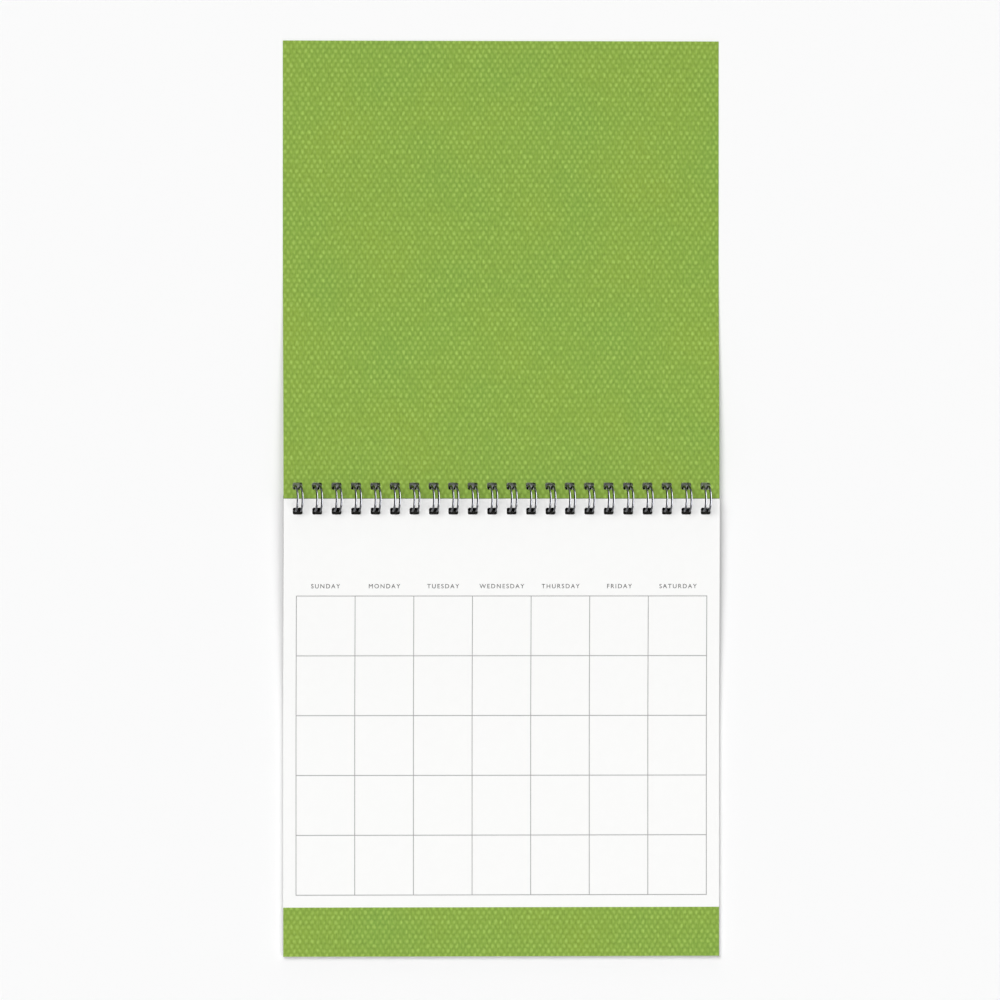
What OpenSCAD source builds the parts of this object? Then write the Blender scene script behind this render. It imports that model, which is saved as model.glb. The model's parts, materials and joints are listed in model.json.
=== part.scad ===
// Wall calendar on a twin loop wire, lying open on a table with its front cover turned up.
// X runs along the binding, Y up the page and Z up from the table.
// The origin is on the table, below the middle of the wire.

/* [Sheets] */
// Width of every sheet, along the binding
sheet_w = 285; // [120:1:420]
// Height of every sheet, from its binding edge to its free edge
sheet_h = 298; // [180:1:420]
// Number of month leaves in the block
leaf_count = 12; // [6:1:16]
// Thickness of one month leaf
leaf_t = 0.2; // [0.1:0.01:0.3]
// Thickness of the front cover
front_t = 0.4; // [0.2:0.05:0.8]
// Thickness of the back cover
back_t = 0.8; // [0.4:0.05:1.2]
// Length over which a sheet comes down from the wire to the table
drape_w = 150; // [60:1:160]

/* [Punching] */
// Height of a hole, across the binding
hole_h = 4.6; // [4.2:0.1:6]
// Corner radius of a hole
hole_corner_r = 1.1; // [0.4:0.1:1.8]
// Gap between the binding edges of the leaves and of the turned cover
edge_gap = 0.3; // [0.2:0.1:4]
// Least distance from the middle of the last hole to the side of the sheet
hole_side = 9; // [6:0.5:30]

/* [Wire] */
// Distance from one loop to the next
loop_pitch = 12.7; // [11:0.1:20]
// Inner diameter of the loops
loop_bore = 15; // [14:0.1:20]
// Diameter of the wire
wire_d = 1.3; // [0.9:0.05:1.4]
// Distance between the two wires of a loop, from middle to middle
twin_w = 3.25; // [2.8:0.05:3.6]
// Sideways lean of the loops, in degrees
loop_lean = 6; // [0:0.5:7]
// Distance from the end of a loop's round to the line of the roots
root_drop = 1.5; // [1.2:0.05:1.8]
// Length of the cut end at each end of the wire
stub_l = 1.5; // [0.5:0.1:3]
// Height of the back cover above the table at the wire
back_lift = 2.8; // [2.2:0.1:3.4]

/* [Print] */
// Columns of the month grid, one for each day of the week
grid_columns = 7; // [5:1:7]
// Rows of the month grid
grid_rows = 5; // [4:1:6]
// Width of the grid's lines
line_w = 0.5; // [0.3:0.05:1]
// Distance from the side of a leaf to the grid
grid_side = 8.1; // [4:0.1:30]
// Distance from the binding edge of a leaf to the grid
grid_head = 63; // [30:0.1:90]
// Distance from the grid to the colour band
grid_foot = 7.8; // [1:0.1:20]
// Height of the colour band along the free edge
band_h = 32; // [10:0.5:60]
// Thickness of the ink
ink_t = 0.05; // [0.02:0.01:0.1]

/* [Hidden] */

$fn = 48;
// How far a cut runs past what it cuts
overrun = 1;
// Flat steps in the drape of a sheet
drape_steps = 16;
// Flat strip between the holes and the drape
strip_w = 1.2;
// Room between the roots of the wire and the sheets above and below them
root_clear = 0.1;
// Room between the tips and the roots of the wire
tip_clear = 0.2;
// Half the gap that a joint of the wire closes, and how far the joint stands proud of the wire
joint_gap = 0.05;
joint_proud = 0.01;
// Room at each side of a loop in its hole
side_play = 0.13;
// Room between a loop and the binding side of its hole in the leaves and the front cover
leaf_play = 0.7;
// The same room in the back cover, which hangs on the wire
back_play = 0.25;

wire_r = wire_d / 2;
joint_r = wire_r + joint_proud;
loop_r = loop_bore / 2 + wire_r;
// Height that the lean gives one wire of a loop over the middle of the pair
lean_rise = twin_w / 2 * sin(loop_lean);
// Height of the middle of the loops: they stand on the table
axis_z = loop_r * cos(loop_lean) + lean_rise + wire_r;

// Heights at the wire: the roots lie between the back cover and the last leaf
leaves_t = leaf_count * leaf_t;
root_z = back_lift + back_t + root_clear + lean_rise + wire_r;
leaves_lift = root_z + wire_r + lean_rise + root_clear - back_t;
leaves_z = back_t + leaves_lift;
front_lift = leaves_z;

// Distance from the binding's middle to the inner side of the higher wire of a loop, at a height
function loop_inside(z) =
    sqrt(pow(loop_r - wire_r, 2) - pow((axis_z + lean_rise - z) / cos(loop_lean), 2));

// Holes: one row for the leaves and the front cover, and one nearer the middle for the back cover
hole_w = 2 * (twin_w / 2 + wire_r + loop_r * sin(loop_lean) + side_play);
leaf_row = loop_inside(leaves_z) - leaf_play + hole_h / 2;
back_row = loop_inside(back_lift) - back_play + hole_h / 2;
// Binding edges: every sheet is punched at the same distance from its own
leaf_edge = edge_gap / 2;
hole_margin = leaf_row - leaf_edge;
back_edge = back_row - hole_margin;
drape_from = leaf_row + hole_h / 2 + strip_w;

loop_count = floor((sheet_w - 2 * hole_side) / loop_pitch) + 1;
function loop_x(i) = (i - (loop_count - 1) / 2) * loop_pitch;

// A loop's own frame: its round lies in X and Y, from the front cover's side up, and Z runs along the pair
root_depth = (axis_z - root_z) / cos(loop_lean);
root_angle = 180 + asin(root_depth / norm([loop_r, root_drop])) - atan2(root_drop, loop_r);
seam_w = root_drop + wire_d + tip_clear;
tip_angle = root_angle + seam_w / loop_r * 180 / PI;
function round_point(angle, side) =
    [loop_r * cos(angle), loop_r * sin(angle), side * twin_w / 2];
function round_tangent(angle) = [-sin(angle), cos(angle), 0];
// From the right wire of a loop to the left wire of the next, and the way that the root runs
root_run = [0, loop_pitch * sin(loop_lean), loop_pitch * cos(loop_lean) - twin_w];
root_dir = root_run / norm(root_run);
root_l = norm(root_run) - 2 * root_drop;

// The grid on the top leaf, measured from the middle of the binding
page_top_z = back_t + leaves_t;
grid_top = leaf_edge + grid_head;
band_top = leaf_edge + sheet_h - band_h;
cell_w = (sheet_w - 2 * grid_side - line_w) / grid_columns;
cell_h = (band_top - grid_foot - grid_top - line_w) / grid_rows;

// Share of the lift that a sheet has along its drape, from 0 on the table to 1 at the wire
function drape_share(s) = s * s * (3 - 2 * s);

// One face of a sheet, from its binding edge out to its free edge
function drape_line(edge, lift, z) = concat(
    [[edge, z + lift]],
    [for (i = [0 : drape_steps])
        [drape_from + drape_w * i / drape_steps, z + lift * drape_share(1 - i / drape_steps)]],
    [[edge + sheet_h, z]]
);

function reversed(points) = [for (i = [len(points) - 1 : -1 : 0]) points[i]];

// A sheet of thickness t that lies at height z and rises by lift along its drape, on the +Y side
module draped_sheet(edge, lift, z, t) {
    under = drape_line(edge, lift, z);
    over = drape_line(edge, lift, z + t);
    rotate([90, 0, 90])
        linear_extrude(sheet_w, center = true)
            polygon(concat(under, reversed(over)));
}

// The outline of one hole with rounded corners
module hole_outline() {
    square([hole_w - 2 * hole_corner_r, hole_h], center = true);
    square([hole_w, hole_h - 2 * hole_corner_r], center = true);
    for (x = [-1, 1], y = [-1, 1])
        translate([x * (hole_w / 2 - hole_corner_r), y * (hole_h / 2 - hole_corner_r)])
            circle(hole_corner_r);
}

// A row of holes through a sheet of thickness t whose underside is at height z
module hole_row(row, z, t) {
    for (i = [0 : loop_count - 1])
        translate([loop_x(i), row, z - overrun])
            linear_extrude(t + 2 * overrun)
                hole_outline();
}

// A sheet with its row of holes, on the +Y side
module punched_sheet(edge, row, lift, z, t) {
    difference() {
        draped_sheet(edge, lift, z, t);
        hole_row(row, z + lift, t);
    }
}

// A bend of the wire that leaves start along one unit direction and turns towards another
module bend(start, along, towards, r, angle) {
    side = towards - (towards * along) * along;
    inward = side / norm(side);
    middle = start + r * inward;
    across = cross(along, inward);
    gap_angle = joint_gap / r * 180 / PI;
    multmatrix([for (k = [0 : 2]) [-inward[k], along[k], across[k], middle[k]]])
        rotate([0, 0, gap_angle])
            rotate_extrude(angle = angle - 2 * gap_angle)
                translate([r, 0])
                    circle(wire_r);
}

// Moves what runs up Z to a place, along a unit direction
module lay(place, along) {
    translate(place)
        rotate([0, acos(along[2]), atan2(along[1], along[0])])
            children();
}

// A straight run of the wire
module run(start, along, l) {
    lay(start + joint_gap * along, along)
        cylinder(r = wire_r, h = l - 2 * joint_gap);
}

// The joint between two runs of the wire
module joint(place, along) {
    lay(place, along)
        sphere(joint_r);
}

// The bend from one side of a loop's round into the line of the roots, and a straight run after it
module root(side, l) {
    tangent = round_tangent(root_angle);
    along = side * root_dir;
    angle = acos(tangent * along);
    start = round_point(root_angle, side);
    end = start + root_drop * (tangent + along);
    joint(start, tangent);
    bend(start, tangent, along, root_drop / tan(angle / 2), angle);
    joint(end, along);
    if (l > 0)
        run(end, along, l);
}

// One loop: two rounds side by side, the tip that joins them and their roots
module twin_loop(left_l, right_l) {
    gap_angle = joint_gap / loop_r * 180 / PI;
    for (side = [-1, 1]) {
        translate([0, 0, side * twin_w / 2])
            rotate([0, 0, tip_angle + gap_angle])
                rotate_extrude(angle = 360 - tip_angle + root_angle - 2 * gap_angle)
                    translate([loop_r, 0])
                        circle(wire_r);
        joint(round_point(tip_angle, side), round_tangent(tip_angle));
    }
    bend(round_point(tip_angle, -1), -round_tangent(tip_angle), [0, 0, 1], twin_w / 2, 180);
    root(-1, left_l);
    root(1, right_l);
}

module twin_loop_wire() {
    last = loop_count - 1;
    color("dimgray")
        for (i = [0 : last])
            translate([loop_x(i), 0, axis_z])
                rotate([0, loop_lean, 0])
                    rotate([90, 0, 90])
                        twin_loop(i == 0 ? stub_l : 0, i == last ? stub_l : root_l);
}

module front_cover() {
    color("yellowgreen")
        punched_sheet(leaf_edge, leaf_row, front_lift, 0, front_t);
}

module month_leaves() {
    color("white")
        mirror([0, 1, 0])
            punched_sheet(leaf_edge, leaf_row, leaves_lift, back_t, leaves_t);
}

module back_cover() {
    color("darkslategray")
        mirror([0, 1, 0])
            punched_sheet(back_edge, back_row, back_lift, 0, back_t);
}

// A film of ink over the whole top leaf
module ink_film() {
    mirror([0, 1, 0])
        draped_sheet(leaf_edge, leaves_lift, page_top_z, ink_t);
}

// A field of a given size on the page, centred across it, with its top at a distance from the binding
module field(x, top, w, h) {
    translate([x - w / 2, -top - h, 0])
        cube([w, h, page_top_z + leaves_lift + overrun]);
}

module month_grid() {
    color("silver")
        intersection() {
            ink_film();
            union() {
                for (i = [0 : grid_columns])
                    field((i - grid_columns / 2) * cell_w, grid_top, line_w, grid_rows * cell_h + line_w);
                for (j = [0 : grid_rows])
                    field(0, grid_top + j * cell_h, grid_columns * cell_w + line_w, line_w);
            }
        }
}

module colour_band() {
    color("yellowgreen")
        intersection() {
            ink_film();
            field(0, band_top, sheet_w, band_h);
        }
}

twin_loop_wire();
front_cover();
month_leaves();
month_grid();
colour_band();
back_cover();
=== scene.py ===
import json
import math

import bmesh
import bpy
from mathutils import Matrix, Vector


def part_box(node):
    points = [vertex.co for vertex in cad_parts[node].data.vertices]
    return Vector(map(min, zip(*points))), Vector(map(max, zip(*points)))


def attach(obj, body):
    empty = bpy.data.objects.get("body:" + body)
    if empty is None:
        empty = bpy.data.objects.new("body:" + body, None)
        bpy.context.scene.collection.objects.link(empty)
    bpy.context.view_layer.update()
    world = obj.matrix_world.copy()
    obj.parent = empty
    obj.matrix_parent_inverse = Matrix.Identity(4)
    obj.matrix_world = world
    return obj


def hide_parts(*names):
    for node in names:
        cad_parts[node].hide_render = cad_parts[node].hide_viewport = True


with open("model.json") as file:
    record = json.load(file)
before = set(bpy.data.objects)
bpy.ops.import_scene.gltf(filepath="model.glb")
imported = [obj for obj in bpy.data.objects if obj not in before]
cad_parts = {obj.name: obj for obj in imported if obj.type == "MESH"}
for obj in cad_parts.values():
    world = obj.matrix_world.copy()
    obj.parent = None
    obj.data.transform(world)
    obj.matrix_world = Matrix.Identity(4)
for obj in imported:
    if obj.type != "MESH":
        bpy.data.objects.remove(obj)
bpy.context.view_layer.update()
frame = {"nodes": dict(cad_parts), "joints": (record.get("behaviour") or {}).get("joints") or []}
scene = bpy.context.scene
scene.view_settings.view_transform = "Standard"

# Its dark grey is painted shade: the board is made dark so that the holes of the leaves over it look dark.
# Back cover
# The last sheet of the calendar: plain board, die punched along one edge and hung on the wire.
# Its free half lies flat on the table, and the rest rises to the wire in a long, easy drape.
MM = 0.001
BACK_T = 0.8 * MM
HOLE_W = 6.51 * MM
HOLE_H = 4.6 * MM
HOLE_CORNER_R = 1.1 * MM
HOLE_CORNER_STEPS = 5
HOLE_MARGIN = 7.99 * MM
LOOP_PITCH = 12.7 * MM
LOOP_COUNT = 22
DRAPE_W = 150 * MM
DRAPE_STEPS = 40
FLAT_STRIP_W = 1.2 * MM
CREASE_ANGLE = math.radians(30)
# Board tones with faint pulp clouds; their dark grey is painted shade for the holes above the board.
SHADE_BOARD_PULP_PALE = "#4B4A48"
SHADE_BOARD_PULP_DARK = "#413F3D"
BOARD_ROUGHNESS = 0.8
STOCK_SHEEN = 0.2
PULP_CLOUD = 6 * MM
# Real tooth is finer. It is drawn this coarse so that it shows.
TOOTH_SIZE = 0.9 * MM
TOOTH_DEPTH = 0.012 * MM

leaf_low, leaf_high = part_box("month_leaves")
drape_from = -leaf_high.y + HOLE_MARGIN + HOLE_H / 2 + FLAT_STRIP_W
loop_xs = [(i - (LOOP_COUNT - 1) / 2) * LOOP_PITCH for i in range(LOOP_COUNT)]


def drape_height(reach, lift):
    """Height of a sheet over its flat part, at a distance from the middle of the binding."""
    share = 1 - min(max((reach - drape_from) / DRAPE_W, 0), 1)
    return lift * share * share * (3 - 2 * share)


def hole_outline(x, reach):
    """Points round one punched hole with rounded corners."""
    points = []
    for quarter, (side_x, side_y) in enumerate(((1, 1), (-1, 1), (-1, -1), (1, -1))):
        for step in range(HOLE_CORNER_STEPS + 1):
            angle = math.pi / 2 * (quarter + step / HOLE_CORNER_STEPS)
            points.append((
                x + side_x * (HOLE_W / 2 - HOLE_CORNER_R) + HOLE_CORNER_R * math.cos(angle),
                reach + side_y * (HOLE_H / 2 - HOLE_CORNER_R) + HOLE_CORNER_R * math.sin(angle),
            ))
    return points


def punched_sheet(node, node_t, sheet_t):
    """A mesh of one sheet, with the outline, holes and drape of a CAD node that is node_t thick."""
    low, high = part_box(node)
    side = 1 if high.y + low.y > 0 else -1
    near, far = (low.y, high.y) if side > 0 else (-high.y, -low.y)
    lift = high.z - low.z - node_t
    bm = bmesh.new()
    outlines = [[(low.x, near), (high.x, near), (high.x, far), (low.x, far)]]
    outlines += [hole_outline(x, near + HOLE_MARGIN) for x in loop_xs]
    for outline in outlines:
        corners = [bm.verts.new((x, side * reach, 0)) for x, reach in outline]
        for start, end in zip(corners, corners[1:] + corners[:1]):
            bm.edges.new((start, end))
    bmesh.ops.triangle_fill(bm, use_beauty=True, edges=bm.edges[:])
    cuts = [((x + LOOP_PITCH / 2, 0, 0), (1, 0, 0)) for x in loop_xs]
    for step in range(DRAPE_STEPS + 1):
        cuts.append(((0, side * (drape_from + DRAPE_W * step / DRAPE_STEPS), 0), (0, 1, 0)))
    for place, normal in cuts:
        everything = bm.verts[:] + bm.edges[:] + bm.faces[:]
        bmesh.ops.bisect_plane(bm, geom=everything, plane_co=place, plane_no=normal)
    for vertex in bm.verts:
        vertex.co.z = low.z + drape_height(side * vertex.co.y, lift)
    raised = bmesh.ops.extrude_face_region(bm, geom=bm.faces[:], use_keep_orig=True)["geom"]
    for vertex in (part for part in raised if isinstance(part, bmesh.types.BMVert)):
        vertex.co.z += sheet_t
    bmesh.ops.recalc_face_normals(bm, faces=bm.faces[:])
    mesh = bpy.data.meshes.new(node + "_sheet")
    bm.to_mesh(mesh)
    bm.free()
    mesh.shade_smooth()
    mesh.set_sharp_from_angle(angle=CREASE_ANGLE)
    return mesh


def linear(hex_colour):
    """An sRGB hex colour as linear RGBA."""
    parts = [int(hex_colour[i:i + 2], 16) / 255 for i in (1, 3, 5)]
    return [p / 12.92 if p <= 0.04045 else ((p + 0.055) / 1.055) ** 2.4 for p in parts] + [1]


def add(tree, kind, inputs, **settings):
    """Adds a node with its settings. Each input is a socket to link or a value to set."""
    node = tree.nodes.new(kind)
    for name, value in settings.items():
        setattr(node, name, value)
    for key, source in inputs.items():
        if isinstance(source, bpy.types.NodeSocket):
            tree.links.new(source, node.inputs[key])
        else:
            node.inputs[key].default_value = source
    return node


def paper_stock(name, pale, dark, roughness):
    """Uncoated paper or board: matt, with faint clouds from the pulp and a fine tooth."""
    material = bpy.data.materials.new(name)
    material.use_nodes = True
    tree = material.node_tree
    shader = tree.nodes["Principled BSDF"]
    shader.inputs["Roughness"].default_value = roughness
    shader.inputs["Specular IOR Level"].default_value = STOCK_SHEEN
    place = add(tree, "ShaderNodeTexCoord", {}).outputs["Object"]
    cloud = add(tree, "ShaderNodeTexNoise", {"Vector": place, "Scale": 1 / PULP_CLOUD, "Detail": 4})
    # A colour mix takes its share at input 0 and its colours at 6 and 7, and gives the result at output 2.
    tone = add(tree, "ShaderNodeMix",
               {0: cloud.outputs[0], 6: linear(dark), 7: linear(pale)}, data_type="RGBA")
    tooth = add(tree, "ShaderNodeTexNoise", {"Vector": place, "Scale": 1 / TOOTH_SIZE, "Detail": 2})
    relief = add(tree, "ShaderNodeBump",
                 {"Height": tooth.outputs[0], "Distance": TOOTH_DEPTH, "Strength": 1})
    tree.links.new(tone.outputs[2], shader.inputs["Base Color"])
    tree.links.new(relief.outputs[0], shader.inputs["Normal"])
    return material


def placed(name, mesh):
    """A new object for a mesh, at the origin."""
    piece = bpy.data.objects.new(name, mesh)
    scene.collection.objects.link(piece)
    return piece


back_cover = placed("back_cover_board", punched_sheet("back_cover", BACK_T, BACK_T))
# The board's dark grey is painted shade, which keeps the holes of the leaves over it dark.
back_cover.data.materials.append(paper_stock("painted_shade_grey_board", SHADE_BOARD_PULP_PALE, SHADE_BOARD_PULP_DARK, BOARD_ROUGHNESS))
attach(back_cover, "back")
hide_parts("back_cover")

# Month leaves
# Loose leaves of smooth white paper, punched together and laid on the back cover as one block.
# Each leaf is a sheet of its own, a hair out of line with the next, as leaves on a wire are.
LEAF_COUNT = 12
LEAF_T = 0.2 * MM
LEAF_GAP = 0.03 * MM
LEAF_STRAY = 0.12 * MM
LEAF_SEED = 7
PAPER_PALE = "#FBFBFA"
PAPER_DARK = "#F8F8F7"
PAPER_ROUGHNESS = 0.7


def grown(name, mesh, tree, sizes):
    """Runs a geometry tree on a mesh and keeps the result as a plain mesh in a new object."""
    piece = placed(name, mesh)
    modifier = piece.modifiers.new(tree.name, "NODES")
    modifier.node_group = tree
    for item in tree.interface.items_tree:
        if item.name in sizes:
            modifier[item.identifier] = sizes[item.name]
    graph = bpy.context.evaluated_depsgraph_get()
    result = bpy.data.meshes.new_from_object(piece.evaluated_get(graph))
    piece.modifiers.remove(modifier)
    piece.data = result
    return piece


def block_tree(material):
    """A geometry tree that lays copies of a leaf on each other, each a little out of line."""
    tree = bpy.data.node_groups.new("leaf_block", "GeometryNodeTree")
    tree.interface.new_socket("Leaf", in_out="INPUT", socket_type="NodeSocketGeometry")
    tree.interface.new_socket("Leaf count", in_out="INPUT", socket_type="NodeSocketInt")
    tree.interface.new_socket("Leaf rise", in_out="INPUT", socket_type="NodeSocketFloat")
    tree.interface.new_socket("Stray", in_out="INPUT", socket_type="NodeSocketFloat")
    tree.interface.new_socket("Seed", in_out="INPUT", socket_type="NodeSocketInt")
    tree.interface.new_socket("Block", in_out="OUTPUT", socket_type="NodeSocketGeometry")
    given = add(tree, "NodeGroupInput", {}).outputs
    rise = add(tree, "ShaderNodeCombineXYZ", {"Z": given["Leaf rise"]})
    line = add(tree, "GeometryNodeMeshLine", {"Count": given["Leaf count"], "Offset": rise.outputs[0]})
    stray = add(tree, "ShaderNodeCombineXYZ", {"X": given["Stray"], "Y": given["Stray"]})
    back = add(tree, "ShaderNodeVectorMath", {0: stray.outputs[0], 1: (-1, -1, 0)}, operation="MULTIPLY")
    slip = add(tree, "FunctionNodeRandomValue",
               {0: back.outputs[0], 1: stray.outputs[0], "Seed": given["Seed"]}, data_type="FLOAT_VECTOR")
    moved = add(tree, "GeometryNodeSetPosition", {"Geometry": line.outputs[0], "Offset": slip.outputs[0]})
    block = add(tree, "GeometryNodeInstanceOnPoints",
                {"Points": moved.outputs[0], "Instance": given["Leaf"]})
    solid = add(tree, "GeometryNodeRealizeInstances", {"Geometry": block.outputs[0]})
    coated = add(tree, "GeometryNodeSetMaterial", {"Geometry": solid.outputs[0], "Material": material})
    add(tree, "NodeGroupOutput", {"Block": coated.outputs[0]})
    return tree


leaf_paper = paper_stock("white_paper", PAPER_PALE, PAPER_DARK, PAPER_ROUGHNESS)
one_leaf = punched_sheet("month_leaves", LEAF_COUNT * LEAF_T, LEAF_T - LEAF_GAP)
one_leaf.transform(Matrix.Translation((0, 0, LEAF_GAP)))
month_leaves = grown("month_leaf_block", one_leaf, block_tree(leaf_paper), {
    "Leaf count": LEAF_COUNT, "Leaf rise": LEAF_T, "Stray": LEAF_STRAY, "Seed": LEAF_SEED,
})
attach(month_leaves, "leaves")
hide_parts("month_leaves")

# Month grid
# Thin grey rules printed on the top leaf, seven columns by five rows of empty day boxes.
# The ink lies on the paper as a film, a little uneven where the paper took more or less of it.
RULE_PALE = "#A9A9A9"
RULE_DARK = "#9C9C9C"
INK_ROUGHNESS = 0.6
INK_SHEEN = 0.25
INK_PATCH = 2.5 * MM


def printed_ink(name, pale, dark):
    """Dry offset ink: matt, with a slightly uneven density."""
    material = bpy.data.materials.new(name)
    material.use_nodes = True
    tree = material.node_tree
    shader = tree.nodes["Principled BSDF"]
    shader.inputs["Roughness"].default_value = INK_ROUGHNESS
    shader.inputs["Specular IOR Level"].default_value = INK_SHEEN
    place = add(tree, "ShaderNodeTexCoord", {}).outputs["Object"]
    patch = add(tree, "ShaderNodeTexNoise", {"Vector": place, "Scale": 1 / INK_PATCH, "Detail": 3})
    tone = add(tree, "ShaderNodeMix",
               {0: patch.outputs[0], 6: linear(dark), 7: linear(pale)}, data_type="RGBA")
    tree.links.new(tone.outputs[2], shader.inputs["Base Color"])
    return material


month_grid = frame["nodes"]["month_grid"]
month_grid.material_slots[0].material = printed_ink("grey_ink", RULE_PALE, RULE_DARK)

# Day headings
# The names of the seven days in small, widely spaced capitals, one over the middle of each column.
# They are printed with the grid, as a film of dark grey ink on the top leaf.
DAYS = ("SUNDAY", "MONDAY", "TUESDAY", "WEDNESDAY", "THURSDAY", "FRIDAY", "SATURDAY")
LETTER_SIZE = 4.0 * MM
LETTER_SPACING = 1.31
HEADING_ABOVE_GRID = 6.8 * MM
INK_T = 0.05 * MM
HEADING_PALE = "#3C3C3C"
HEADING_DARK = "#2E2E2E"

grid_low, grid_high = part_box("month_grid")
column_w = (grid_high.x - grid_low.x) / len(DAYS)
leaves_lift = leaf_high.z - leaf_low.z - LEAF_COUNT * LEAF_T
page_z = leaf_low.z + LEAF_COUNT * LEAF_T
headings = bmesh.new()
for column, day in enumerate(DAYS):
    letters = bpy.data.curves.new(day.lower(), "FONT")
    letters.body = day
    letters.size = LETTER_SIZE
    letters.space_character = LETTER_SPACING
    letters.extrude = INK_T / 2
    letters.align_x = "CENTER"
    heading = placed("heading_" + day.lower(), letters)
    graph = bpy.context.evaluated_depsgraph_get()
    mesh = bpy.data.meshes.new_from_object(heading.evaluated_get(graph))
    mesh.transform(Matrix.Translation((
        grid_low.x + (column + 0.5) * column_w,
        grid_high.y + HEADING_ABOVE_GRID - LETTER_SIZE / 2,
        page_z + INK_T / 2,
    )))
    headings.from_mesh(mesh)
    bpy.data.objects.remove(heading)
for vertex in headings.verts:
    vertex.co.z += drape_height(-vertex.co.y, leaves_lift)
heading_mesh = bpy.data.meshes.new("day_headings")
headings.to_mesh(heading_mesh)
headings.free()
day_headings = placed("day_headings", heading_mesh)
day_headings.data.materials.append(printed_ink("dark_grey_ink", HEADING_PALE, HEADING_DARK))
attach(day_headings, "leaves")

# Colour band
# A field of green print along the free edge of the top leaf, with the same dots as the front cover.
# The dots stand in staggered rows, paler than the ground, and the ground drifts to and from yellow.
DOT_PITCH = 3.865 * MM
DOT_ROW = 3.116 * MM
DOT_HALF_W = 1.7 * MM
DOT_HALF_H = 2.3 * MM
DOT_STRAY = 0.9 * MM
STRAY_SIZE = 4 * MM
DOT_FAINT = 0.45
DOT_FULL = 1.05
DRIFT_SIZE = 65 * MM
DRIFT_LOW = 0.3
DRIFT_HIGH = 0.7
STREAK_W = 1.1 * MM
STREAK_L = 3.2 * MM
STREAK_LOW = 0.25
STREAK_HIGH = 0.75
STREAK_DARK = 0.86
STREAK_PALE = 1.14
GREEN_COOL = "#81A446"
GREEN_WARM = "#8AA643"
DOT_GREEN = "#A4C45E"


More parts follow.
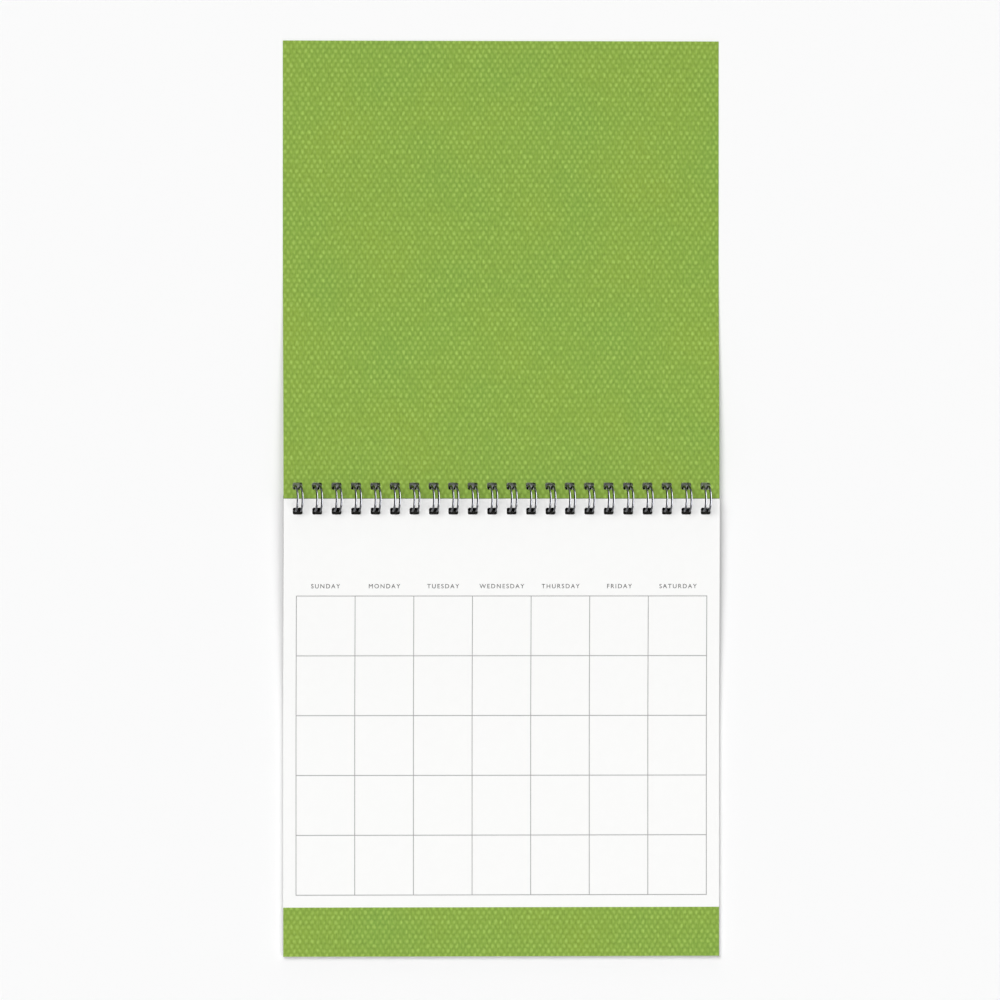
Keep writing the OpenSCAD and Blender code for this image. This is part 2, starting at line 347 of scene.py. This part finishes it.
def dotted_green(name, roughness):
    """Green offset print: a mottled ground under staggered rows of soft, pale, upright dots."""
    material = bpy.data.materials.new(name)
    material.use_nodes = True
    tree = material.node_tree
    shader = tree.nodes["Principled BSDF"]
    shader.inputs["Roughness"].default_value = roughness
    shader.inputs["Specular IOR Level"].default_value = INK_SHEEN
    place = add(tree, "ShaderNodeTexCoord", {}).outputs["Object"]
    wander = add(tree, "ShaderNodeTexNoise", {"Vector": place, "Scale": 1 / STRAY_SIZE, "Detail": 1})
    away = add(tree, "ShaderNodeVectorMath",
               {0: wander.outputs["Color"], 1: (0.5, 0.5, 0.5)}, operation="SUBTRACT")
    stray = add(tree, "ShaderNodeVectorMath",
                {0: away.outputs[0], "Scale": 2 * DOT_STRAY}, operation="SCALE")
    strayed = add(tree, "ShaderNodeVectorMath", {0: place, 1: stray.outputs[0]})
    lattice = add(tree, "ShaderNodeVectorMath",
                  {0: strayed.outputs[0], 1: (1 / DOT_PITCH, 1 / DOT_ROW, 0)}, operation="MULTIPLY")
    along_page = add(tree, "ShaderNodeSeparateXYZ", {0: lattice.outputs[0]})
    row = add(tree, "ShaderNodeMath", {0: along_page.outputs["Y"]}, operation="FLOOR")
    odd = add(tree, "ShaderNodeMath", {0: row.outputs[0], 1: 2}, operation="FLOORED_MODULO")
    half = add(tree, "ShaderNodeMath", {0: odd.outputs[0], 1: 0.5}, operation="MULTIPLY")
    shift = add(tree, "ShaderNodeCombineXYZ", {"X": half.outputs[0]})
    staggered = add(tree, "ShaderNodeVectorMath", {0: lattice.outputs[0], 1: shift.outputs[0]})
    cell = add(tree, "ShaderNodeVectorMath", {0: staggered.outputs[0]}, operation="FLOOR")
    inside = add(tree, "ShaderNodeVectorMath", {0: staggered.outputs[0]}, operation="FRACTION")
    middle = add(tree, "ShaderNodeVectorMath",
                 {0: inside.outputs[0], 1: (0.5, 0.5, 0)}, operation="SUBTRACT")
    oval = add(tree, "ShaderNodeVectorMath",
               {0: middle.outputs[0], 1: (DOT_PITCH / DOT_HALF_W, DOT_ROW / DOT_HALF_H, 0)},
               operation="MULTIPLY")
    reach = add(tree, "ShaderNodeVectorMath", {0: oval.outputs[0]}, operation="LENGTH")
    dot = add(tree, "ShaderNodeMapRange", {"Value": reach.outputs["Value"], "To Min": 1, "To Max": 0},
              interpolation_type="SMOOTHSTEP")
    chance = add(tree, "ShaderNodeTexWhiteNoise", {"Vector": cell.outputs[0]})
    weight = add(tree, "ShaderNodeMapRange",
                 {"Value": chance.outputs["Value"], "To Min": DOT_FAINT, "To Max": DOT_FULL})
    strength = add(tree, "ShaderNodeMath", {0: dot.outputs[0], 1: weight.outputs[0]}, operation="MULTIPLY")
    drift = add(tree, "ShaderNodeTexNoise", {"Vector": place, "Scale": 1 / DRIFT_SIZE, "Detail": 4})
    spread = add(tree, "ShaderNodeMapRange",
                 {"Value": drift.outputs[0], "From Min": DRIFT_LOW, "From Max": DRIFT_HIGH})
    ground = add(tree, "ShaderNodeMix",
                 {0: spread.outputs[0], 6: linear(GREEN_COOL), 7: linear(GREEN_WARM)}, data_type="RGBA")
    print_colour = add(tree, "ShaderNodeMix",
                       {0: strength.outputs[0], 6: ground.outputs[2], 7: linear(DOT_GREEN)},
                       data_type="RGBA")
    upright = add(tree, "ShaderNodeVectorMath",
                  {0: place, 1: (1 / STREAK_W, 1 / STREAK_L, 0)}, operation="MULTIPLY")
    streak = add(tree, "ShaderNodeTexNoise", {"Vector": upright.outputs[0], "Scale": 1, "Detail": 2})
    shade = add(tree, "ShaderNodeMapRange",
                {"Value": streak.outputs[0], "From Min": STREAK_LOW, "From Max": STREAK_HIGH,
                 "To Min": STREAK_DARK, "To Max": STREAK_PALE})
    finish = add(tree, "ShaderNodeVectorMath",
                 {0: print_colour.outputs[2], 1: shade.outputs[0]}, operation="MULTIPLY")
    tree.links.new(finish.outputs[0], shader.inputs["Base Color"])
    return material


colour_band = frame["nodes"]["colour_band"]
colour_band.material_slots[0].material = dotted_green("green_print_on_paper", INK_ROUGHNESS)

# Front cover
# One sheet of satin card, printed green with fine dots and punched like the leaves.
# It is turned up over the wire, rests on the table at its free edge and hangs on the loops at the other.
FRONT_T = 0.4 * MM
CARD_ROUGHNESS = 0.5

front_cover = placed("front_cover_card", punched_sheet("front_cover", FRONT_T, FRONT_T))
front_cover.data.materials.append(dotted_green("green_print_on_card", CARD_ROUGHNESS))
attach(front_cover, "cover")
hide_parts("front_cover")

# Twin loop wire
# One length of dark coated steel wire, bent into a comb of double loops and pressed shut round the sheets.
# The loops lean a little to the right, and their roots and tips meet behind the last leaf.
WIRE_D = 1.3 * MM
LOOP_BORE = 15 * MM
TWIN_W = 3.25 * MM
LOOP_LEAN = math.radians(6)
ROOT_DROP = 1.5 * MM
ROOT_CLEAR = 0.1 * MM
TIP_CLEAR = 0.2 * MM
STUB_L = 1.5 * MM
ROUND_STEPS = 56
BEND_STEPS = 10
WIRE_SIDES = 16
WIRE_CREASE = math.radians(60)
WIRE_DARK = "#505155"
WIRE_PALE = "#5C5D61"
SMOOTH_ROUGHNESS = 0.1
SCUFFED_ROUGHNESS = 0.2
SCUFF_SIZE = 1.6 * MM

wire_r = WIRE_D / 2
loop_r = LOOP_BORE / 2 + wire_r
axis_z = frame["joints"][0]["pos_m"][2]
lean_rise = TWIN_W / 2 * math.sin(LOOP_LEAN)
root_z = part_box("back_cover")[1].z + ROOT_CLEAR + lean_rise + wire_r
root_depth = (axis_z - root_z) / math.cos(LOOP_LEAN)
root_angle = math.pi + math.asin(root_depth / math.hypot(loop_r, ROOT_DROP)) - math.atan2(ROOT_DROP, loop_r)
tip_angle = root_angle + (ROOT_DROP + WIRE_D + TIP_CLEAR) / loop_r - 2 * math.pi
root_dir = Vector((
    LOOP_PITCH * math.cos(LOOP_LEAN) - TWIN_W,
    0,
    LOOP_PITCH * math.sin(LOOP_LEAN),
)).normalized()


def round_point(angle, side):
    """A point on one of the two rounds of a loop, in the loop's own frame."""
    return Vector((side * TWIN_W / 2, loop_r * math.cos(angle), loop_r * math.sin(angle)))


def round_tangent(angle):
    """The way that a round runs at an angle."""
    return Vector((0, -math.sin(angle), math.cos(angle)))


def bend(start, along, towards, radius, turn):
    """Points of a bend that leaves start along one direction and turns towards another."""
    inward = (towards - towards.dot(along) * along).normalized()
    turns = [turn * step / BEND_STEPS for step in range(BEND_STEPS + 1)]
    return [start + radius * ((1 - math.cos(a)) * inward + math.sin(a) * along) for a in turns]


def root_bend(side):
    """Points of the bend from a round into the line of the roots."""
    tangent, along = round_tangent(root_angle), side * root_dir
    turn = math.acos(tangent.dot(along))
    return bend(round_point(root_angle, side), tangent, along, ROOT_DROP / math.tan(turn / 2), turn)


round_turn = tip_angle - root_angle
round_angles = [root_angle + round_turn * step / ROUND_STEPS for step in range(1, ROUND_STEPS)]
tip = bend(round_point(tip_angle, -1), -round_tangent(tip_angle), Vector((1, 0, 0)), TWIN_W / 2, math.pi)
twin_loop = root_bend(-1)[::-1] + [round_point(a, -1) for a in round_angles] + tip
twin_loop += [round_point(a, 1) for a in round_angles[::-1]] + root_bend(1)
first_end = twin_loop[0] - STUB_L * root_dir
last_end = twin_loop[-1] + STUB_L * root_dir
wire_line = []
for i, x in enumerate(loop_xs):
    stand = Matrix.Translation((x, 0, axis_z)) @ Matrix.Rotation(LOOP_LEAN, 4, "Y")
    own_points = [first_end] * (i == 0) + twin_loop + [last_end] * (i == LOOP_COUNT - 1)
    wire_line += [stand @ point for point in own_points]
wire_path = bpy.data.meshes.new("wire_path")
wire_path.from_pydata(wire_line, [(k, k + 1) for k in range(len(wire_line) - 1)], [])


def sweep_tree(material):
    """A geometry tree that draws round wire along a line of edges."""
    tree = bpy.data.node_groups.new("drawn_wire", "GeometryNodeTree")
    tree.interface.new_socket("Line", in_out="INPUT", socket_type="NodeSocketGeometry")
    tree.interface.new_socket("Wire radius", in_out="INPUT", socket_type="NodeSocketFloat")
    tree.interface.new_socket("Sides", in_out="INPUT", socket_type="NodeSocketInt")
    tree.interface.new_socket("Wire", in_out="OUTPUT", socket_type="NodeSocketGeometry")
    given = add(tree, "NodeGroupInput", {}).outputs
    line = add(tree, "GeometryNodeMeshToCurve", {"Mesh": given["Line"]})
    section = add(tree, "GeometryNodeCurvePrimitiveCircle",
                  {"Resolution": given["Sides"], "Radius": given["Wire radius"]})
    drawn = add(tree, "GeometryNodeCurveToMesh",
                {"Curve": line.outputs[0], "Profile Curve": section.outputs[0], "Fill Caps": True})
    solid = add(tree, "GeometryNodeRealizeInstances", {"Geometry": drawn.outputs[0]})
    coated = add(tree, "GeometryNodeSetMaterial", {"Geometry": solid.outputs[0], "Material": material})
    add(tree, "NodeGroupOutput", {"Wire": coated.outputs[0]})
    return tree


def dark_wire(name):
    """Drawn steel wire under a thin dark metallic coat: smooth, with faint scuffs."""
    material = bpy.data.materials.new(name)
    material.use_nodes = True
    tree = material.node_tree
    shader = tree.nodes["Principled BSDF"]
    shader.inputs["Metallic"].default_value = 1
    place = add(tree, "ShaderNodeTexCoord", {}).outputs["Object"]
    scuff = add(tree, "ShaderNodeTexNoise", {"Vector": place, "Scale": 1 / SCUFF_SIZE, "Detail": 3})
    tone = add(tree, "ShaderNodeMix",
               {0: scuff.outputs[0], 6: linear(WIRE_DARK), 7: linear(WIRE_PALE)}, data_type="RGBA")
    gloss = add(tree, "ShaderNodeMapRange",
                {"Value": scuff.outputs[0], "To Min": SMOOTH_ROUGHNESS, "To Max": SCUFFED_ROUGHNESS})
    tree.links.new(tone.outputs[2], shader.inputs["Base Color"])
    tree.links.new(gloss.outputs[0], shader.inputs["Roughness"])
    return material


wire = grown("twin_loop_binding", wire_path, sweep_tree(dark_wire("dark_coated_wire")), {
    "Wire radius": wire_r, "Sides": WIRE_SIDES,
})
wire.data.shade_smooth()
wire.data.set_sharp_from_angle(angle=WIRE_CREASE)
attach(wire, "back")
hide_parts("twin_loop_wire")

# Table
# A plain matt white table top under the calendar, which takes its shadow.
# It lies a hair below the sheets, so that no two faces fall in one plane.
TABLE_SIZE = 16
TABLE_DROP = 0.05 * MM
TABLE_WHITE = "#F8F8F8"

table_mesh = bpy.data.meshes.new("table")
table_half = TABLE_SIZE / 2
table_sides = ((-1, -1), (1, -1), (1, 1), (-1, 1))
table_corners = [(x * table_half, y * table_half, -TABLE_DROP) for x, y in table_sides]
table_mesh.from_pydata(table_corners, [], [(0, 1, 2, 3)])
table = placed("table", table_mesh)
table_top = bpy.data.materials.new("matt_white_table")
table_top.use_nodes = True
table_shader = table_top.node_tree.nodes["Principled BSDF"]
table_shader.inputs["Base Color"].default_value = linear(TABLE_WHITE)
table_shader.inputs["Roughness"].default_value = 1
table_shader.inputs["Specular IOR Level"].default_value = 0
table.data.materials.append(table_top)

# Light
# A broad soft key from the upper left makes the shadows, and a fill opposite lightens them.
# The dome is dim overhead and to the sides, so that holes and wire stay dark, and a long panel
# on the right, which lights the wire alone, gives it its highlight.
KEY_AZIMUTH = math.radians(130)
KEY_STRENGTH = 2.02
FILL_AZIMUTH = math.radians(-40)
FILL_STRENGTH = 0.9
LAMP_ELEVATION = math.radians(56)
LAMP_SPREAD = math.radians(38)
DOME_HORIZON = 2.2
DOME_ZENITH = 0.06
DOME_SIDE = 0.08
DOME_LOW = 0.2
DOME_HIGH = 0.9
SIDE_NEAR = 0.1
SIDE_FAR = 0.6
PANEL_L = 3.5
PANEL_H = 1.6
PANEL_AT = Vector((1.45, 0, 0.68))
PANEL_GLOW = 20

for name, azimuth, strength in (("key", KEY_AZIMUTH, KEY_STRENGTH), ("fill", FILL_AZIMUTH, FILL_STRENGTH)):
    lamp = bpy.data.objects.new(name, bpy.data.lights.new(name, "SUN"))
    lamp.data.energy = strength
    lamp.data.angle = LAMP_SPREAD
    lamp.visible_glossy = False
    lamp_from = Vector((
        math.cos(LAMP_ELEVATION) * math.cos(azimuth),
        math.cos(LAMP_ELEVATION) * math.sin(azimuth),
        math.sin(LAMP_ELEVATION),
    ))
    lamp.rotation_euler = lamp_from.to_track_quat("Z", "Y").to_euler()
    scene.collection.objects.link(lamp)
panel = bpy.data.objects.new("panel", bpy.data.lights.new("panel", "AREA"))
panel.data.shape = "RECTANGLE"
panel.data.size = PANEL_L
panel.data.size_y = PANEL_H
panel.data.energy = PANEL_GLOW * math.pi * PANEL_L * PANEL_H
panel.visible_diffuse = False
panel.visible_camera = False
panel.light_linking.receiver_collection = bpy.data.collections.new("lit_by_panel")
panel.light_linking.receiver_collection.objects.link(wire)
panel.location = PANEL_AT
panel.rotation_euler = PANEL_AT.to_track_quat("Z", "Y").to_euler()
scene.collection.objects.link(panel)
world = bpy.data.worlds.new("studio")
scene.world = world
world.use_nodes = True
sky = world.node_tree
toward = add(sky, "ShaderNodeTexCoord", {}).outputs["Generated"]
way = add(sky, "ShaderNodeSeparateXYZ", {0: toward})
dome = add(sky, "ShaderNodeMapRange",
           {"Value": way.outputs["Z"], "From Min": DOME_LOW, "From Max": DOME_HIGH,
            "To Min": DOME_HORIZON, "To Max": DOME_ZENITH}, interpolation_type="SMOOTHSTEP")
aside = add(sky, "ShaderNodeMath", {0: way.outputs["X"]}, operation="ABSOLUTE")
flag = add(sky, "ShaderNodeMapRange",
           {"Value": aside.outputs[0], "From Min": SIDE_NEAR, "From Max": SIDE_FAR,
            "To Min": 1, "To Max": DOME_SIDE}, interpolation_type="SMOOTHSTEP")
level = add(sky, "ShaderNodeMath", {0: dome.outputs[0], 1: flag.outputs[0]}, operation="MULTIPLY")
sky.links.new(level.outputs[0], sky.nodes["Background"].inputs["Strength"])
sky.nodes["Background"].inputs["Color"].default_value = (1, 1, 1, 1)

# Camera
# Over the calendar with a long lens, so that the sheets stay square, as in the photograph.
# It stands a little to the left, from where the loops show more of their lean.
PICTURE_W = 651.4 * MM
LENS = 600
AIM = Vector((-0.9 * MM, -0.9 * MM, page_z))
CAMERA_TURN = math.radians(5)

camera = bpy.data.objects.new("camera", bpy.data.cameras.new("camera"))
camera.data.lens = LENS
camera_from = Vector((-math.sin(CAMERA_TURN), 0, math.cos(CAMERA_TURN)))
camera.location = AIM + PICTURE_W * LENS / camera.data.sensor_width * camera_from
camera.rotation_euler = (0, -CAMERA_TURN, 0)
scene.collection.objects.link(camera)
scene.camera = camera
